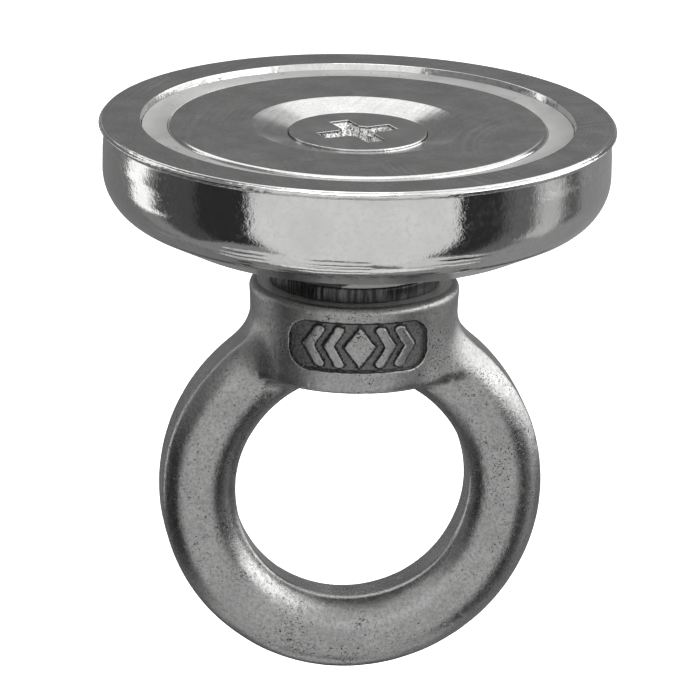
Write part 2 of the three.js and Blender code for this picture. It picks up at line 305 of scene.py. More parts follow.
# A band of painted shade along the badge's inner edge and round the motif: its half width, and how far inside
# the edge and outside the motif it lies.
BADGE_SHADE_WIDTH = 0.1
BADGE_SHADE_INSIDE = 0.12
MOTIF_SHADE_OUTSIDE = 0.06
MOTIF_STROKE = 1.05
MOTIF_HALF_HEIGHT = 2.5
MOTIF_LEAN = 1.5
MOTIF_SPACING = 2.25
MOTIF_FIRST = 2.1
MOTIF_ROOT = 1.5
MOTIF_INSET = 0.02
MOTIF_TOP_BLEND = 0.15
MOTIF_FOOT_BLEND = 0.08
CHEVRONS = 2
CHEVRON_DISTANCE = 0.8
LOZENGE_HALF_WIDTH = 1.9
LOZENGE_DISTANCE = 1.2


# ---------------- camera and light


def make_camera():
    """A long lens, a little above the working face and left of the badge."""
    azimuth, elevation = math.radians(VIEW_AZIMUTH), math.radians(VIEW_ELEVATION)
    right = Vector((math.cos(azimuth), math.sin(azimuth), 0))
    back = Vector((math.sin(azimuth) * math.cos(elevation), -math.cos(azimuth) * math.cos(elevation),
                   math.sin(elevation)))
    aim = Vector((0, 0, -AIM_DROP)) - right * AIM_LEFT
    camera = bpy.data.objects.new("camera", bpy.data.cameras.new("camera"))
    bpy.context.scene.collection.objects.link(camera)
    camera.location = back * VIEW_DISTANCE
    camera.data.lens = VIEW_LENS
    camera.data.clip_start = CAMERA_NEAR
    camera.data.clip_end = CAMERA_FAR
    look = aim - camera.location
    turn = Quaternion(look.normalized(), math.radians(-VIEW_ROLL))
    camera.rotation_mode = "QUATERNION"
    camera.rotation_quaternion = turn @ look.to_track_quat("-Z", "Y")
    bpy.context.scene.camera = camera


TENT_RADIUS = 1.5
TENT_CENTRE = Vector((0, 0, -0.03))
TENT_BRIGHTNESS = 0.3
FLOOR_DROP = 0.3
FLOOR_RADIUS = 2.6
FLOOR_SIDES = 96
FLOOR_GREY = 0.9
FLOOR_ROUGHNESS = 0.9
FLOOR_GLOW = 1.0
LAMP_SIZE = 0.5
LAMP_WATTS = 3
LAMP_PLACE = (-0.1, -0.15, 1.1)
WHITE = (1, 1, 1, 1)

# The tent's panels: azimuth from and to, measured from the camera to its right, elevation from and to,
# brightness, lean in degrees of azimuth for each degree of elevation, and the width in degrees of its fading
# border. Each hangs a little inside the one before it, so the later covers the earlier.
PANELS = {
    "front_low": (-115, 110, -79, -58, 0.80, 0, 0),
    "below": (-180, 180, -90, -79, 0.2, 0, 0),
    "front_high": (-36, 50, 7, 30, 1.15, 0, 0),
    "front_top": (-60, 50, 30, 58, 0.9, 0, 0),
    "left_back": (-180, -119, -70, 4, 0.22, 0, 0),
    "left_edge": (-102, -77, -46, 6, 0.085, 0, 0),
    "left_gap": (-77, -49, -43, 6, 0.035, 0, 0),
    "left_high": (-112, -36, 7, 20, 0.28, 0, 0),
    "left_line": (-118, -106, -5, 48, 1.5, 0, 2),
    "right_gap": (35, 80, -58, 6, 0.035, 0, 6),
    "right_side": (66, 97, -60, 5, 0.16, 0, 10),
    "right_edge": (101, 125, -60, 5, 0.14, 0, 5),
    "right_back": (117, 184, -70, 6, 0.32, 0, 5),
    "right_low": (90, 136, -62, -20, 0.34, 0, 7),
    "right_strip": (85, 110, -38, 4, 0.62, 0, 7),
    "left_strip": (-119.5, -103.5, -21.5, 10, 1.5, -1.1, 0),
    "left_glow": (-172, -128, 3, 13, 0.7, 0, 0),
    "front_screen": (-48, 47, -76, 6, 0.88, 0, 0),
    "back_below": (120, 240, -90, -69, 1.0, 0, 0),
    "back_dark": (163, 197, -62, -31, 0.10, 0, 0),
    "back_screen": (-238, -120, 6, 31, 0.21, 0, 0),
    "back_glow": (160, 178, 19, 34, 0.9, 0, 7),
    "right_key": (50, 130, 7, 40, 3.0, 0, 0),
    "right_low_key": (88, 140, -10, 8, 1.8, 0, 5),
    "right_high": (48, 134, 40, 60, 1.4, 0, 0),
    "back_roof": (-244, -118, 31, 62, 1.45, 0, 0),
    "roof": (-180, 180, 62, 90, 1.5, 0, 0),
}
PANEL_RADIUS = TENT_RADIUS * 0.95
PANEL_STEP = 0.004
PATCH_COLUMNS = 48
PATCH_ROWS = 16
FADED_PATCH_ROWS = 32


def glow(name, brightness, fades):
    """An emitting material, which is clear where the patch has a cover of 0."""
    material = bpy.data.materials.new(name)
    material.use_nodes = True
    tree = material.node_tree
    tree.nodes.clear()
    light = shader_node(tree, "ShaderNodeEmission", {"Strength": brightness}).outputs["Emission"]
    if fades:
        clear = shader_node(tree, "ShaderNodeBsdfTransparent").outputs["BSDF"]
        cover = shader_node(tree, "ShaderNodeAttribute", attribute_name="cover").outputs["Fac"]
        light = shader_node(tree, "ShaderNodeMixShader", {0: cover, 1: clear, 2: light}).outputs["Shader"]
    shader_node(tree, "ShaderNodeOutputMaterial", {"Surface": light})
    return material


def tent_patch(name, azimuths, elevations, radius, brightness, lean=0, fade=0):
    """A patch of a sphere round the object, which lights it and shows in it, but not to the camera."""
    across = PATCH_COLUMNS
    up = FADED_PATCH_ROWS if fade else PATCH_ROWS
    azimuth, elevation = np.meshgrid(np.linspace(*azimuths, across), np.linspace(*elevations, up))
    rise = np.radians(elevation)
    turn = np.radians(azimuth + VIEW_AZIMUTH + lean * (elevation + VIEW_ELEVATION))
    points = radius * np.stack([np.sin(turn) * np.cos(rise), -np.cos(turn) * np.cos(rise), np.sin(rise)], -1)
    faces = [(j * across + i, j * across + i + 1, (j + 1) * across + i + 1, (j + 1) * across + i)
             for j in range(up - 1) for i in range(across - 1)]
    mesh = bpy.data.meshes.new(name)
    mesh.from_pydata((points.reshape(-1, 3) + np.array(TENT_CENTRE)).tolist(), [], faces)
    mesh.materials.append(glow(name, brightness, fade > 0))
    if fade:
        beside = np.minimum(azimuth - azimuths[0], azimuths[1] - azimuth)
        within = np.minimum(elevation - elevations[0], elevations[1] - elevation)
        cover = ramp(np.minimum(beside, within), 0, fade).astype(np.float32)
        mesh.attributes.new("cover", "FLOAT", "POINT").data.foreach_set("value", cover.ravel())
    patch = bpy.data.objects.new(name, mesh)
    bpy.context.scene.collection.objects.link(patch)
    patch.visible_camera = False
    patch.visible_shadow = False


def make_floor():
    """A plain pale floor, well below the hanging object."""
    height = cad_low.z - FLOOR_DROP
    rim = [(FLOOR_RADIUS * math.cos(t), FLOOR_RADIUS * math.sin(t), height)
           for t in np.linspace(0, math.tau, FLOOR_SIDES, endpoint=False)]
    mesh = bpy.data.meshes.new("floor")
    mesh.from_pydata(rim, [], [tuple(range(len(rim)))])
    material = bpy.data.materials.new("floor_paper")
    material.use_nodes = True
    shader = material.node_tree.nodes["Principled BSDF"]
    shader.inputs["Base Color"].default_value = (FLOOR_GREY, FLOOR_GREY, FLOOR_GREY, 1)
    shader.inputs["Roughness"].default_value = FLOOR_ROUGHNESS
    shader.inputs["Emission Color"].default_value = WHITE
    shader.inputs["Emission Strength"].default_value = FLOOR_GLOW
    mesh.materials.append(material)
    floor = bpy.data.objects.new("floor", mesh)
    bpy.context.scene.collection.objects.link(floor)
    floor.visible_glossy = False


def make_studio():
    """A white world, the tent with its panels, and a soft lamp over the working face."""
    world = bpy.data.worlds.new("white")
    world.use_nodes = True
    world.node_tree.nodes["Background"].inputs["Color"].default_value = WHITE
    bpy.context.scene.world = world
    bpy.context.scene.view_settings.view_transform = "Standard"
    tent_patch("tent", (-180, 180), (-90, 90), TENT_RADIUS, TENT_BRIGHTNESS)
    for i, (name, panel) in enumerate(PANELS.items()):
        left, right, low, high, brightness, lean, fade = panel
        tent_patch(name, (left, right), (low, high), PANEL_RADIUS - i * PANEL_STEP, brightness, lean, fade)
    lamp = bpy.data.objects.new("top_lamp", bpy.data.lights.new("top_lamp", "AREA"))
    lamp.data.size = LAMP_SIZE
    lamp.data.energy = LAMP_WATTS
    lamp.location = LAMP_PLACE
    bpy.context.scene.collection.objects.link(lamp)


# ---------------- shapes


# The factors of a hash: one for each axis, one for the seed, and (shift, factor) for each round of mixing.
AXIS_FACTORS = (374761393, 668265263, 1274126177)
SEED_FACTOR = 974711
MIXING = ((13, 1103515245), (15, 1274126177))
LAST_SHIFT = 16
WORD = 0xFFFFFFFF
FRACTION = 0xFFFFFF


def hashed(cells, seed):
    """A repeatable number from 0 to 1 for each whole-number cell."""
    number = sum(cells[..., axis] * factor for axis, factor in enumerate(AXIS_FACTORS)) + seed * SEED_FACTOR
    number = number & WORD
    for shift, factor in MIXING:
        number = ((number ^ (number >> shift)) * factor) & WORD
    return ((number ^ (number >> LAST_SHIFT)) & FRACTION) / FRACTION


def noise(points, size, seed=0):
    """Smooth noise from -1 to 1 at each point, with features of the given size."""
    scaled = points / size
    cell = np.floor(scaled).astype(np.int64)
    part = scaled - cell
    part = part * part * (3 - 2 * part)
    total = np.zeros(points.shape[:-1])
    for corner in np.ndindex(2, 2, 2):
        weight = np.prod(np.where(np.array(corner), part, 1 - part), axis=-1)
        total += weight * hashed(cell + np.array(corner), seed)
    return 2 * total - 1


def uneven(points, layers):
    """A sum of noises, from layers of (size of its features, seed, depth)."""
    return sum(noise(points, size, seed) * depth for size, seed, depth in layers)


def patchy(points, size, seed):
    """A share that falls to 0 in places."""
    return np.maximum(PATCHY_START + noise(points, size, seed), 0)


def ramp(value, start, length):
    """A rise from 0 at the start to 1 after the length."""
    return np.clip((value - start) / length, 0, 1)


def band(value, centre, width):
    """1 at the centre, falling softly to 0 on both sides."""
    return np.exp(-(((value - centre) / width) ** 2))


def spun(x, y, turn):
    """x and y in axes that are turned about Z."""
    return x * math.cos(turn) + y * math.sin(turn), -x * math.sin(turn) + y * math.cos(turn)


def cylinder_points(radius, height, turn):
    return np.stack([radius * np.cos(turn), radius * np.sin(turn), height], -1)


def rounded(corners, steps, longest=math.inf):
    """A closed profile of (radius, height) from corners of (radius, height, size of its rounding)."""
    points = []
    for i, (radius, height, size) in enumerate(corners):
        here = np.array((radius, height))
        if size == 0:
            points.append(here)
            continue
        before = np.array(corners[i - 1][:2]) - here
        after = np.array(corners[(i + 1) % len(corners)][:2]) - here
        before /= np.linalg.norm(before)
        after /= np.linalg.norm(after)
        half = math.acos(np.clip(before @ after, -1, 1)) / 2
        middle = (before + after) / np.linalg.norm(before + after)
        centre = here + middle * size / math.sin(half)
        start = here + before * size / math.tan(half) - centre
        end = here + after * size / math.tan(half) - centre
        first = math.atan2(start[1], start[0])
        sweep = (math.atan2(end[1], end[0]) - first + math.pi) % math.tau - math.pi
        count = max(steps, math.ceil(size * abs(sweep) / longest))
        for k in range(count + 1):
            angle = first + sweep * k / count
            points.append(centre + size * np.array((math.cos(angle), math.sin(angle))))
    return np.array(points)


def spaced(profile, longest, near=None, closer=None):
    """The closed profile with points added, so that no stretch is too long, and closer where near says so."""
    points = []
    for here, after in zip(profile, np.roll(profile, -1, axis=0)):
        most = closer if near and near(*(here + after) / 2) else longest
        count = max(1, math.ceil(np.linalg.norm(after - here) / most))
        points.extend(here + (after - here) * k / count for k in range(count))
    return np.array(points)


def make_piece(name, points, faces, body, node, materials, sharp=SHARP_ANGLE):
    """A Blender object from points in millimetres, which rides on a body and stands for a CAD node."""
    mesh = bpy.data.meshes.new(name)
    mesh.vertices.add(len(points))
    mesh.vertices.foreach_set("co", (points * MM).astype(np.float32).ravel())
    mesh.loops.add(faces.size)
    mesh.loops.foreach_set("vertex_index", faces.astype(np.int32).ravel())
    mesh.polygons.add(len(faces))
    mesh.polygons.foreach_set("loop_start", np.arange(len(faces), dtype=np.int32) * faces.shape[1])
    mesh.update(calc_edges=True)
    mesh.validate()
    mesh.shade_smooth()
    if sharp:
        mesh.set_sharp_from_angle(angle=sharp)
    for material in materials:
        mesh.materials.append(material)
    piece = bpy.data.objects.new(name, mesh)
    bpy.context.scene.collection.objects.link(piece)
    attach(piece, body)
    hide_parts(node)
    return piece


def turned(profile, steps, relief=None):
    """Points and faces of a closed profile turned about Z, shifted by relief(radius, height, turn)."""
    turn = np.linspace(0, math.tau, steps, endpoint=False)
    radius = np.repeat(profile[:, 0][:, None], steps, axis=1)
    height = np.repeat(profile[:, 1][:, None], steps, axis=1)
    turn = np.broadcast_to(turn, radius.shape)
    if relief:
        radius, height = relief(radius, height, turn)
    points = cylinder_points(radius, height, turn).reshape(-1, 3)
    i, j = np.meshgrid(np.arange(len(profile)), np.arange(steps), indexing="ij")
    i_next, j_next = (i + 1) % len(profile), (j + 1) % steps
    corners = [i * steps + j, i * steps + j_next, i_next * steps + j_next, i_next * steps + j]
    return points, np.stack(corners, -1).reshape(-1, 4)


GRADIENT_STEP = 0.01
NET_PASSES = 5
LEAST_SLOPE_SQUARED = 0.05
CUBE_CORNERS = 8


def gradient(field, points):
    """The field's slope at each point, by small steps."""
    slopes = []
    for axis in range(3):
        shift = np.zeros(3)
        shift[axis] = GRADIENT_STEP
        ahead, behind = points + shift, points - shift
        slopes.append((field(*ahead.T) - field(*behind.T)) / (2 * GRADIENT_STEP))
    return np.stack(slopes, -1)


def surface_net(field, low, high, cell):
    """Points and faces of where the field is 0: a point in each cell that it crosses, moved onto it."""
    low, high = np.array(low, float), np.array(high, float)
    axes = [np.arange(low[k], high[k] + cell, cell) for k in range(3)]
    y, z = np.meshgrid(axes[1], axes[2], indexing="ij")
    inside = np.stack([field(np.full_like(y, x), y, z) < 0 for x in axes[0]])
    cells = [len(axis) - 1 for axis in axes]
    filled = sum(inside[a:cells[0] + a, b:cells[1] + b, c:cells[2] + c].astype(np.int8)
                 for a, b, c in np.ndindex(2, 2, 2))
    crossed = (filled > 0) & (filled < CUBE_CORNERS)
    index = np.full(crossed.shape, -1, np.int64)
    index[crossed] = np.arange(crossed.sum())
    points = low + (np.argwhere(crossed) + 0.5) * cell
    faces = []
    for axis in range(3):
        here = np.take(inside, np.arange(inside.shape[axis] - 1), axis)
        after = np.take(inside, np.arange(1, inside.shape[axis]), axis)
        edges = np.argwhere(here != after)
        out = here[tuple(edges.T)]
        second, third = np.eye(3, dtype=int)[(axis + 1) % 3], np.eye(3, dtype=int)[(axis + 2) % 3]
        ring = [edges - second - third, edges - third, edges, edges - second]
        quads = np.stack([index[tuple(corner.T)] for corner in ring], -1)
        quads[~out] = quads[~out][:, ::-1]
        faces.append(quads)
    faces = np.concatenate(faces)
    for _ in range(NET_PASSES):
        slope = gradient(field, points)
        steepness = np.maximum((slope**2).sum(-1, keepdims=True), LEAST_SLOPE_SQUARED)
        shift = field(*points.T)[:, None] * slope / steepness
        points -= np.clip(shift, -cell / 2, cell / 2)
    return points, faces


def netted(field, low, high, margin, cell):
    cell = cell
    return surface_net(field, np.array(low) - margin, np.array(high) + margin, cell)


def with_relief(field, points, relief):
    """The points, moved out along the surface by relief(points)."""
    slope = gradient(field, points)
    slope /= np.linalg.norm(slope, axis=-1, keepdims=True)
    return points + slope * relief(points)[:, None]


def smooth_min(a, b, size):
    """The lower of two fields, with a rounding of the given size where they meet."""
    blend = np.maximum(size - np.abs(a - b), 0) / size
    return np.minimum(a, b) - blend * blend * size / 4


def smooth_max(a, b, size):
    """The higher of two fields, with a rounding of the given size where they meet."""
    return -smooth_min(-a, -b, size)


def thread_radius(x, y, z, play, inner, outer):
    """The radius of a right-handed M8 thread's surface at a point's turn and height."""
    along = (z / THREAD_PITCH - np.arctan2(y, x) / math.tau) % 1
    ridge = SHARP_HEIGHT * (np.abs(2 * along - 1) - 0.5)
    return np.clip(PITCH_RADIUS + ridge + play, inner, outer)


def tapped_hole(x, y, z, radius, top, bottom):
    """Below 0 outside a tapped hole with countersunk mouths, for use as the second side of a maximum."""
    wall = thread_radius(x, y, z, THREAD_PLAY, TAPPED_CREST, TAPPED_ROOT) - radius
    beyond = np.minimum(np.maximum(z - top, bottom - z), MOUTH_OVERRUN)
    countersinks = TAPPED_ROOT + MOUTH_COUNTERSINK + beyond - radius
    return np.maximum(wall, countersinks * CONE_DISTANCE)


# ---------------- materials

# Where most of a noise's values lie.
USUAL = (0.3, 0.7)
FALLING = (1, 0)
WARMTH = 0.99
GRINDING_CENTRE = (0.030, -0.012, 0)
UPRIGHT_STRETCH = (1, 1, 0.12)


def shader_node(tree, kind, inputs=(), **settings):
    """A node with its settings made, and each input set or linked."""
    made = tree.nodes.new(kind)
    for key, value in settings.items():
        setattr(made, key, value)
    for key, value in dict(inputs).items():
        if isinstance(value, bpy.types.NodeSocket):
            tree.links.new(value, made.inputs[key])
        else:
            made.inputs[key].default_value = value
    return made


def new_material(name, colour, roughness, metallic):
    """A material with its node tree, and the socket that gives each point's place in metres."""
    material = bpy.data.materials.new(name)
    material.use_nodes = True
    shader = material.node_tree.nodes["Principled BSDF"]
    shader.inputs["Base Color"].default_value = (*colour, 1)
    shader.inputs["Roughness"].default_value = roughness
    shader.inputs["Metallic"].default_value = metallic
    where = shader_node(material.node_tree, "ShaderNodeTexCoord").outputs["Object"]
    return material, material.node_tree, where


def finished(material, colour, roughness, bumps):
    """The material with its sockets linked, and bumps of (height socket, depth in mm), one over the other."""
    tree = material.node_tree
    shader = tree.nodes["Principled BSDF"]
    tree.links.new(colour, shader.inputs["Base Color"])
    tree.links.new(roughness, shader.inputs["Roughness"])
    normal = None
    for height, depth in bumps:
        inputs = {"Height": height, "Distance": depth * MM, "Strength": 1.0}
        if normal is not None:
            inputs["Normal"] = normal
        normal = shader_node(tree, "ShaderNodeBump", inputs).outputs["Normal"]
    tree.links.new(normal, shader.inputs["Normal"])
    return material


def noise_value(tree, where, size, detail=2.0, roughness=0.5, dimensions="3D"):
    """Noise from 0 to 1 with features of a size in millimetres."""
    key = "W" if dimensions == "1D" else "Vector"
    inputs = {key: where, "Scale": 1 / (size * MM), "Detail": detail, "Roughness": roughness}
    return shader_node(tree, "ShaderNodeTexNoise", inputs, noise_dimensions=dimensions).outputs["Fac"]


def mapped(tree, value, from_range, to_range=(0, 1)):
    """A value taken from one range to another, and held at its ends."""
    (low, high), (to_low, to_high) = from_range, to_range
    inputs = {"Value": value, "From Min": low, "From Max": high, "To Min": to_low, "To Max": to_high}
    return shader_node(tree, "ShaderNodeMapRange", inputs).outputs["Result"]


def with_alpha(colour):
    return colour if isinstance(colour, bpy.types.NodeSocket) else (*colour, 1)


def mixed_colour(tree, share, first, second):
    """A colour between two, by a share. A mix node takes its colours at 6 and 7, and gives one at 2."""
    inputs = {0: share, 6: with_alpha(first), 7: with_alpha(second)}
    return shader_node(tree, "ShaderNodeMix", inputs, data_type="RGBA").outputs[2]


def combined(tree, operation, first, second):
    return shader_node(tree, "ShaderNodeMath", {0: first, 1: second}, operation=operation).outputs["Value"]


def vector_math(tree, operation, inputs, output="Vector"):
    return shader_node(tree, "ShaderNodeVectorMath", inputs, operation=operation).outputs[output]


def axis_distance(tree, where, offset=(0, 0, 0)):
    """Each point's distance from the magnet's axis, or from a line beside it."""
    moved = vector_math(tree, "SUBTRACT", {0: where, 1: offset})
    flat = vector_math(tree, "MULTIPLY", {0: moved, 1: (1, 1, 0)})
    return vector_math(tree, "LENGTH", {0: flat}, "Value")


def height_share(tree, where, low, high, to_range=(0, 1)):
    """A value that changes between two heights in millimetres."""
    height = shader_node(tree, "ShaderNodeSeparateXYZ", {0: where}).outputs["Z"]
    return mapped(tree, height, (low * MM, high * MM), to_range)


def grey(level):
    return (level, level, level * WARMTH)


def bright_nickel():
    """Plating over drawn steel: glossy, with an orange-peel skin, duller specks and faint stains."""
    material, tree, where = new_material("bright_nickel", grey(0.64), 0.13, 1.0)
    stain = noise_value(tree, where, size=5, detail=4, roughness=0.6)
    speck = noise_value(tree, where, size=0.25)
    mottle = noise_value(tree, where, size=0.6, detail=4, roughness=0.65)
    sheen = noise_value(tree, where, size=9, detail=4, roughness=0.65)
    gloss = mapped(tree, sheen, (0.4, 0.65), (0.03, 0.13))
    dull = mapped(tree, mottle, (0.45, 0.8), (0, 0.14))
    tone = mixed_colour(tree, mapped(tree, stain, (0.35, 0.7)), grey(0.68), grey(0.60))
    tone = mixed_colour(tree, mapped(tree, mottle, (0.3, 0.55), FALLING), tone, grey(0.58))
    colour = mixed_colour(tree, mapped(tree, speck, (0.72, 0.8)), tone, grey(0.3))
    peel = noise_value(tree, where, size=0.5, detail=3, roughness=0.6)
    patch = noise_value(tree, where, size=3.5)
    return finished(material, colour, combined(tree, "ADD", gloss, dull), [(patch, 0.03), (peel, 0.017)])


def ground_nickel(name, level):
    """A turned face under thin plating: fine rings, arcs left by a grinding wheel, and a cloudy sheen."""
    material, tree, where = new_material(name, grey(level), 0.3, 1.0)
    from_axis, from_wheel = axis_distance(tree, where), axis_distance(tree, where, GRINDING_CENTRE)
    rings = noise_value(tree, from_axis, size=0.22, detail=3, roughness=0.6, dimensions="1D")
    arcs = noise_value(tree, from_wheel, size=0.7, detail=1, dimensions="1D")
    cloud = noise_value(tree, where, size=5, detail=5, roughness=0.65)
    worn = mapped(tree, noise_value(tree, where, size=9), (0.45, 0.65))
    grit = noise_value(tree, where, size=0.35, detail=4, roughness=0.7)
    tone = mixed_colour(tree, mapped(tree, cloud, USUAL), grey(level * 0.86), grey(level * 1.1))
    arc_tone = combined(tree, "MULTIPLY", mapped(tree, arcs, (0.35, 0.65), (-0.10, 0.10)), worn)
    ring_tone = combined(tree, "ADD", mapped(tree, rings, (0.35, 0.65), (0.95, 1.05)), arc_tone)
    scratch = combined(tree, "MULTIPLY", ring_tone, mapped(tree, grit, USUAL, (0.88, 1.1)))
    colour = vector_math(tree, "SCALE", {0: tone, "Scale": scratch})
    bumps = [(arcs, 0.003), (rings, 0.0012), (grit, 0.0015)]
    return finished(material, colour, mapped(tree, cloud, USUAL, (0.10, 0.17)), bumps)


def cast_resin():
    """Pale potting resin, smooth and a little glossy, with tiny bubbles."""
    material, tree, where = new_material("potting_resin", grey(0.3), 0.3, 0.0)
    cloud = noise_value(tree, where, size=4, detail=4, roughness=0.6)
    bubble = noise_value(tree, where, size=0.3, detail=1)
    tone = mixed_colour(tree, mapped(tree, cloud, USUAL), grey(0.27), grey(0.33))
    colour = mixed_colour(tree, mapped(tree, bubble, (0.78, 0.84)), tone, grey(0.10))
    roughness = mapped(tree, cloud, USUAL, (0.24, 0.38))
    return finished(material, colour, roughness, [(noise_value(tree, where, size=1.6), 0.008)])


def screw_steel():
    """Zinc-plated steel, satin, with fine scratches."""
    material, tree, where = new_material("screw_steel", grey(0.6), 0.22, 1.0)
    cloud = noise_value(tree, where, size=3.5, detail=4, roughness=0.6)
    grit = noise_value(tree, where, size=0.25, detail=4, roughness=0.7)
    tone = mixed_colour(tree, mapped(tree, cloud, USUAL), grey(0.56), grey(0.64))
    colour = mixed_colour(tree, mapped(tree, grit, (0.3, 0.6), (0.3, 0)), tone, grey(0.3))
    return finished(material, colour, mapped(tree, cloud, USUAL, (0.15, 0.22)), [(grit, 0.001)])


def pressed_steel():
    """The walls of the driver recess, torn by the punch, with painted shade just under its edge."""
    material, tree, where = new_material("pressed_steel", grey(0.7), 0.4, 1.0)
    grit = noise_value(tree, where, size=0.22, detail=4, roughness=0.7)
    # Painted shade: the walls turn near black just under the recess's edge.
    edge_shade = height_share(tree, where, HEAD_FACE - RECESS_SHADE_FOOT, HEAD_FACE - RECESS_SHADE_TOP)
    tone = mixed_colour(tree, mapped(tree, grit, (0.4, 0.52)), grey(0.10), grey(0.8))
    colour = mixed_colour(tree, edge_shade, tone, grey(0.06))
    return finished(material, colour, mapped(tree, grit, (0.35, 0.6), (0.12, 0.42)), [(grit, 0.02)])


def shaded_sheared_steel():
    """The edge of a punched washer, with upright shear marks, and painted shade: its colour is kept near
    black.
    """
    material, tree, where = new_material("shaded_sheared_steel", grey(0.1), 0.35, 1.0)
    drawn = vector_math(tree, "MULTIPLY", {0: where, 1: UPRIGHT_STRETCH})
    streak = noise_value(tree, drawn, size=0.45, detail=4, roughness=0.65)
    # Painted shade: the streaks stay between near black and dark grey.
    colour = mixed_colour(tree, mapped(tree, streak, (0.42, 0.72)), grey(0.035), grey(0.13))
    return finished(material, colour, mapped(tree, streak, USUAL, (0.42, 0.25)), [(streak, 0.03)])


def pitted(tree, where, size, scarce, crowded):
    """A share that is 1 in small pits: the noise above a threshold, which varies from scarce to crowded."""
    threshold = mapped(tree, noise_value(tree, where, size=5), (0.35, 0.7), (scarce, crowded))
    pit = noise_value(tree, where, size)
    return mapped(tree, combined(tree, "SUBTRACT", pit, threshold), (0, 0.05))


def cast_stainless():
    """A tumbled stainless forging: satin, cloudy, with small dark pits, and duller above the ring."""
    material, tree, where = new_material("cast_stainless", grey(0.4), 0.3, 1.0)
    cloud = noise_value(tree, where, size=3.5, detail=5, roughness=0.6)
    mottle = noise_value(tree, where, size=0.36, detail=5, roughness=0.7)
    skin = noise_value(tree, where, size=0.5, detail=5, roughness=0.7)
    dull = height_share(tree, where, COLLAR_BOTTOM - 1, COLLAR_BOTTOM + 2, (0, 0.14))
    roughness = combined(tree, "ADD", mapped(tree, cloud, USUAL, (0.2, 0.3)), dull)
    tone = mixed_colour(tree, mapped(tree, cloud, USUAL), grey(0.33), grey(0.42))
    tone = mixed_colour(tree, mapped(tree, mottle, (0.36, 0.58), FALLING), tone, grey(0.26))
    wide = pitted(tree, where, size=0.32, scarce=0.72, crowded=0.61)
    small = pitted(tree, where, size=0.2, scarce=0.70, crowded=0.60)
    pits = combined(tree, "MAXIMUM", wide, small)
    colour = mixed_colour(tree, pits, tone, grey(0.02))
    return finished(material, colour, roughness, [(skin, 0.03), (mapped(tree, pits, (0, 1), FALLING), 0.03)])


def badge_floor(name, darkest, lightest):
    """The struck floor of the badge: dark and rough, since the tumbling doesn't reach it."""
    material, tree, where = new_material(name, grey(darkest), 0.6, 1.0)
    grain = noise_value(tree, where, size=0.3, detail=4, roughness=0.7)
    colour = mixed_colour(tree, mapped(tree, grain, USUAL), grey(darkest), grey(lightest))
    return finished(material, colour, mapped(tree, grain, USUAL, (0.5, 0.7)), [(grain, 0.05)])


def machined_face():
    """The faced top of the collar, with fine rings."""
    material, tree, where = new_material("machined_face", grey(0.7), 0.5, 1.0)
    rings = noise_value(tree, axis_distance(tree, where), size=0.15, roughness=0.6, dimensions="1D")
    colour = mixed_colour(tree, mapped(tree, rings, USUAL), grey(0.6), grey(0.8))
    return finished(material, colour, mapped(tree, rings, USUAL, (0.42, 0.55)), [(rings, 0.004)])


# ---------------- pieces


def face_middles(points, faces):
    """The middle of each face: x, y, z and the distance from the axis."""
    x, y, z = points[faces].mean(axis=1).T
    return x, y, z, np.hypot(x, y)


def paint(piece, indexes):
    """Gives each face the material with its index."""
    piece.data.polygons.foreach_set("material_index", indexes.astype(np.int32))


def pot_profile():
    wall = RIM_RADIUS - LIP_OVERHANG
    slope = math.tan(POT_BACK_SLOPE)
    mid_slope_radius = wall - POT_CORNER_ROUND * (1 - math.sin(POT_BACK_SLOPE))
    mid_slope_height = POT_CORNER_TOP - POT_CORNER_ROUND * math.cos(POT_BACK_SLOPE)
    corner_height = mid_slope_height + (wall - mid_slope_radius) * slope
    back_radius = mid_slope_radius - (mid_slope_height - POT_LOW.z) / slope
    corners = [
        (SHANK_HOLE_RADIUS, POT_LOW.z, WORN),
        (back_radius, POT_LOW.z, POT_BACK_ROUND),
        (wall, corner_height, POT_CORNER_ROUND),
        (wall, -UNDERCUT_END, UNDERCUT_ROUND),
        (wall - LIP_UNDERCUT, -LIP_FOOT, SOFT),
        (RIM_RADIUS - LIP_DRAFT, -LIP_HEIGHT, CRISP),
        (RIM_RADIUS, -RIM_EDGE_DROP, RIM_EDGE_FOOT_ROUND),
        (RIM_RADIUS - RIM_EDGE_WIDTH, 0, RIM_EDGE_ROUND),
        (POT_MOUTH_RADIUS + POT_MOUTH_CHAMFER, 0, CRISP),
        (POT_MOUTH_RADIUS, -POT_MOUTH_CHAMFER_HEIGHT, POT_MOUTH_FOOT_ROUND),
        (POT_MOUTH_RADIUS, POT_FLOOR, WORN),
        (SHANK_HOLE_RADIUS, POT_FLOOR, SOFT),
    ]

    def near_lip(radius, height):
        return radius > RIM_RADIUS - LIP_ZONE and height > -LIP_FOOT - LIP_ZONE

    return spaced(rounded(corners, ARC_STEPS, POT_ARC_LONGEST), PROFILE_STEP, near_lip, LIP_STEP)


def lip_relief(at, radius, height):
    """Burrs on the lip's lower edge, and a wavering groove round its upper one."""
    outer = ramp(radius, RIM_RADIUS - LIP_INSIDE, LIP_FADE)
    burred = outer * band(height, -LIP_HEIGHT - BURR_DROP, BURR_WIDTH)
    height = height + burred * uneven(at, BURR_UNEVEN)
    radius = radius - burred * np.maximum(uneven(at, BURR_BITES), 0)
    groove = outer * band(height, -RIM_GROOVE - uneven(at, RIM_GROOVE_WAVER), RIM_GROOVE_WIDTH)
    edge = outer * ramp(height, -LIP_HEIGHT, RIM_EDGE_FADE)
    radius = radius + edge * (uneven(at, RIM_EDGE_UNEVEN) - RIM_EDGE_SINK) - groove * RIM_GROOVE_DEPTH
    return radius, height


